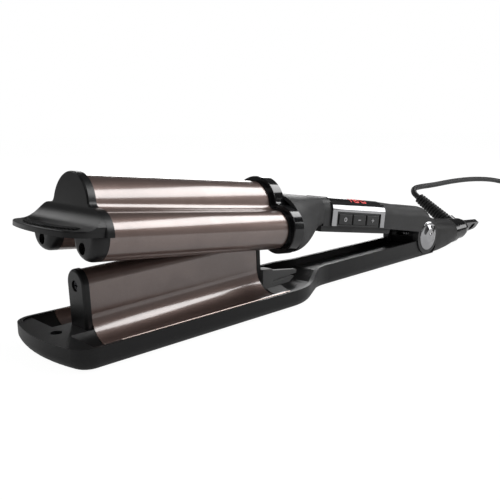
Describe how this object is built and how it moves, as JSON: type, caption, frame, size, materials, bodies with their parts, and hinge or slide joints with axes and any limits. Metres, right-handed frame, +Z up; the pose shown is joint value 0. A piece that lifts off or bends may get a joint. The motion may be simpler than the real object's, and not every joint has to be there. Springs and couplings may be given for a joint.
{
  "type": "hair waver",
  "caption": "Open two-arm hair waver with a humped upper wave plate over a ridged lower plate, side keys, display window, swivel cord with hanging loop, coil and plug.",
  "frame": {"origin": "on the flat underside that the waver lies on, in its middle plane, half way between the nose and the tip of the hanging loop", "axes": "+X along the waver from its nose to the hanging loop at the tail, +Y away from the side with the keys, +Z up"},
  "size_m": [0.5472, 0.1128, 0.0747],
  "materials": {
    "soft_black": "soft-touch matt black moulding",
    "matt_black": "fine-grained matt black moulding",
    "gloss_black": "polished black moulding",
    "rose_bronze": "satin rose-bronze coating on die-cast aluminium",
    "chrome": "bright chrome",
    "steel": "plain steel",
    "black_steel": "blackened screw steel",
    "heat_grey": "grey heat-resistant resin",
    "ceramic": "white heater ceramic",
    "alloy": "plain die-cast aluminium",
    "board": "green circuit board",
    "cord_black": "black PVC cord and flexible mouldings",
    "brass": "nickel-plated brass pins"
  },
  "bodies": {
    "lower_arm": {"lower_shell": "soft_black", "lower_deck": "matt_black", "deck_screw": "black_steel", "lower_wave_plate": "rose_bronze", "lower_heater": "ceramic", "lower_heater_clip": "alloy", "ridge_front_cap": "matt_black", "ridge_anchor": "alloy", "ridge_cap_screw": "black_steel", "ridge_rear_cap": "matt_black", "arm_liner": "matt_black", "heat_shield": "heat_grey", "trough_scoops": "heat_grey", "hinge_spring": "steel", "tail_ring": "gloss_black", "cord": "cord_black", "cord_coil": "cord_black", "cord_end": "cord_black", "plug": "cord_black", "plug_pins": "brass"},
    "upper_arm": {"hinge_pin": "steel", "hinge_caps": "chrome", "upper_wave_plate": "rose_bronze", "heater_cradles": "alloy", "upper_heaters": "ceramic", "heater_wedges": "alloy", "front_cap": "matt_black", "lobe_end_caps": "matt_black", "lobe_cap_screws": "black_steel", "heat_break_ring": "matt_black", "rear_collar": "gloss_black", "upper_housing": "soft_black", "handle_lower_cover": "matt_black", "cover_screws": "black_steel", "control_bezel": "chrome", "control_panel": "gloss_black", "tact_switches": "matt_black", "main_pcb": "board", "display_window": "gloss_black", "display_module": "matt_black"},
    "power_key": {"button_power": "matt_black"},
    "minus_key": {"button_minus": "matt_black"},
    "plus_key": {"button_plus": "matt_black"},
    "cord_swivel": {"swivel_body": "matt_black", "hanging_loop": "matt_black", "strain_relief": "cord_black"}
  },
  "joints": [
    {"name": "jaw_hinge", "type": "hinge", "parent": "lower_arm", "child": "upper_arm", "pos_m": [0.089, 0, 0.015], "axis": [0, 1, 0], "range_deg": [-7.4, 0], "stiffness_Nm_per_rad": 2, "springref_deg": 28.65},
    {"name": "power_press", "type": "slide", "parent": "upper_arm", "child": "power_key", "axis": [0, 1, 0], "range_m": [0, 0.0006], "stiffness_N_per_m": 500, "springref_m": -0.0004},
    {"name": "minus_press", "type": "slide", "parent": "upper_arm", "child": "minus_key", "axis": [0, 1, 0], "range_m": [0, 0.0006], "stiffness_N_per_m": 500, "springref_m": -0.0004},
    {"name": "plus_press", "type": "slide", "parent": "upper_arm", "child": "plus_key", "axis": [0, 1, 0], "range_m": [0, 0.0006], "stiffness_N_per_m": 500, "springref_m": -0.0004},
    {"name": "cord_turn", "type": "hinge", "parent": "lower_arm", "child": "cord_swivel", "pos_m": [0.155, 0, 0.01], "axis": [1, 0, 0], "continuous": true}
  ]
}
